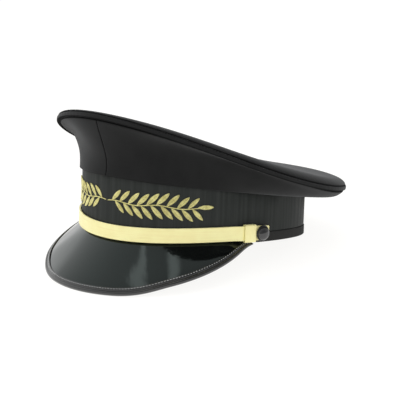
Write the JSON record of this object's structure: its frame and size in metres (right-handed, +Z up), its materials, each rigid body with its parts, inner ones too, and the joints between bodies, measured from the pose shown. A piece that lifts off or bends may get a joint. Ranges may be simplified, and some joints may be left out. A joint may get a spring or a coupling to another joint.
{
  "type": "valet cap",
  "caption": "Peaked uniform cap: wide bell crown with a piped rim, ribboned stiff band, bound glossy peak and a gold chin strap held by keepers and dome buttons.",
  "frame": {"origin": "on the surface the cap stands on, under the middle of its overall box", "axes": "-Y is the front of the cap with the peak, +X the wearer's left, +Z up; the cap is tipped as it stands on the edge of its peak and the back of its band"},
  "size_m": [0.222, 0.2806, 0.1397],
  "materials": {
    "crown_cloth": "matte black woven uniform cloth",
    "band_cloth": "matte black cloth over a stiff band",
    "ribbon": "black ribbed ribbon with a faint satin sheen",
    "patent": "black patent, mirror gloss",
    "edging": "black patent binding, stitched",
    "gold_strap": "pale straw gold, soft gloss with fine lengthwise lines",
    "button": "glossy black dome"
  },
  "bodies": {
    "root": {"crown_top": "crown_cloth", "crown_welt": "crown_cloth", "crown_side_left": "crown_cloth", "crown_side_right": "crown_cloth", "band": "band_cloth", "band_ribbon": "ribbon", "band_hem": "band_cloth", "peak": "patent", "peak_binding": "edging", "chin_strap": "gold_strap", "strap_keeper_left": "gold_strap", "strap_keeper_right": "gold_strap", "button_left": "button", "button_right": "button"}
  },
  "joints": []
}
